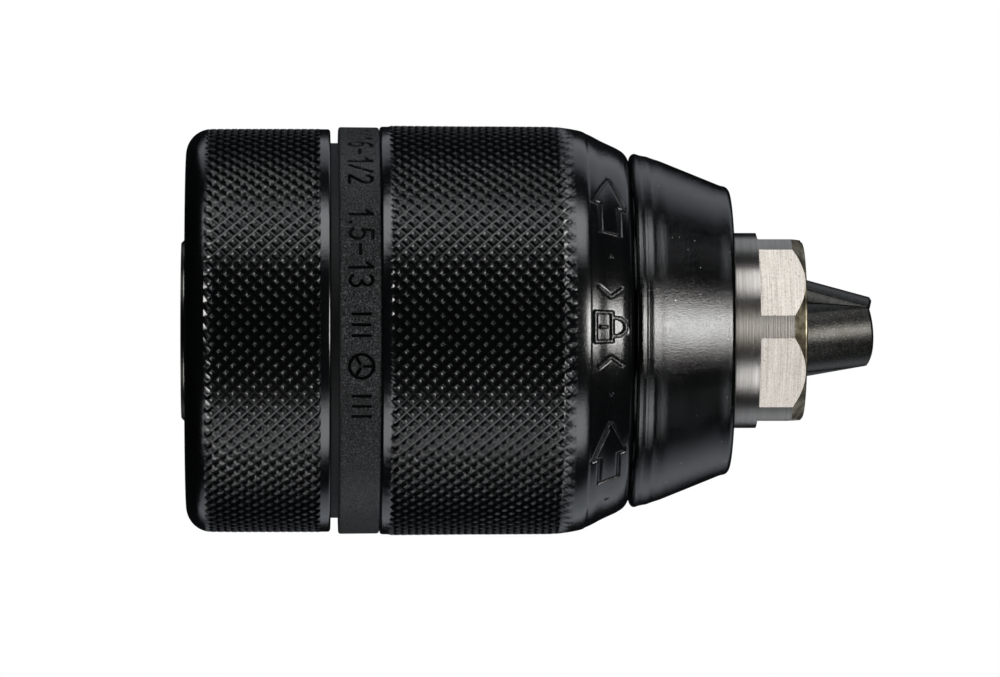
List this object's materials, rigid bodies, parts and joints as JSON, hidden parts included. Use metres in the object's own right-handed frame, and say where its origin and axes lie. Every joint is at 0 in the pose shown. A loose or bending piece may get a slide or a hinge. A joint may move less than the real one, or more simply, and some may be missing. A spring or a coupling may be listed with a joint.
{
  "type": "keyless drill chuck",
  "caption": "Keyless drill chuck with a knurled rear and front sleeve, marking ring, black nose cone, wrench hexagon and three self-centring jaws.",
  "frame": {"origin": "centre of the shank's rear end face, at the mouth of the spindle thread", "axes": "+Z along the chuck's axis towards the nose; the spindle leaves along -Z"},
  "size_m": [0.043, 0.043, 0.0726],
  "materials": {
    "body_steel": "ground and turned",
    "nose_black": "gloss",
    "spring_steel": "satin",
    "hardened_steel": "satin",
    "bearing_steel": "polished",
    "cage_brass": "satin",
    "core_plastic": "matte",
    "sleeve_plastic": "satin",
    "ring_plastic": "fine grained",
    "jaw_steel": "dark satin"
  },
  "bodies": {
    "body": {"chuck_body": "body_steel", "nose_cone": "nose_black", "snap_ring": "spring_steel", "ratchet_ring": "hardened_steel", "rear_thrust_washer": "bearing_steel", "holding_sleeve": "sleeve_plastic", "holding_insert": "hardened_steel"},
    "nut": {"nut_half_a": "hardened_steel", "nut_half_b": "hardened_steel", "nut_band": "hardened_steel", "front_thrust_washer": "bearing_steel", "pawl_spring": "spring_steel"},
    "sleeve": {"clamping_sleeve": "sleeve_plastic", "marking_ring": "ring_plastic", "drive_sleeve": "core_plastic"},
    "bearing": {"ball_cage": "cage_brass", "bearing_balls": "bearing_steel"},
    "jaw_1": {"jaw_1": "jaw_steel"},
    "jaw_2": {"jaw_2": "jaw_steel"},
    "jaw_3": {"jaw_3": "jaw_steel"}
  },
  "joints": [
    {"name": "nut_turn", "type": "hinge", "parent": "body", "child": "nut", "pos_m": [0, 0, 0], "axis": [0, 0, 1], "range_deg": [0, 4374]},
    {"name": "sleeve_lock", "type": "hinge", "parent": "nut", "child": "sleeve", "pos_m": [0, 0, 0], "axis": [0, 0, 1], "range_deg": [-20, 0]},
    {"name": "cage_turn", "type": "hinge", "parent": "body", "child": "bearing", "pos_m": [0, 0, 0], "axis": [0, 0, 1], "range_deg": [0, 2190]},
    {"name": "jaw_1_slide", "type": "slide", "parent": "body", "child": "jaw_1", "axis": [0.1718, 0.2047, -0.9636], "range_m": [0, 0.02431]},
    {"name": "jaw_2_slide", "type": "slide", "parent": "body", "child": "jaw_2", "axis": [-0.2632, 0.0464, -0.9636], "range_m": [0, 0.02431]},
    {"name": "jaw_3_slide", "type": "slide", "parent": "body", "child": "jaw_3", "axis": [0.0914, -0.2511, -0.9636], "range_m": [0, 0.02431]}
  ],
  "couplings": [
    {"joint": "cage_turn", "follows": "nut_turn", "ratio": 0.5},
    {"joint": "jaw_1_slide", "follows": "nut_turn", "m_per_rad": 0.00031831},
    {"joint": "jaw_2_slide", "follows": "nut_turn", "m_per_rad": 0.00031831},
    {"joint": "jaw_3_slide", "follows": "nut_turn", "m_per_rad": 0.00031831}
  ]
}
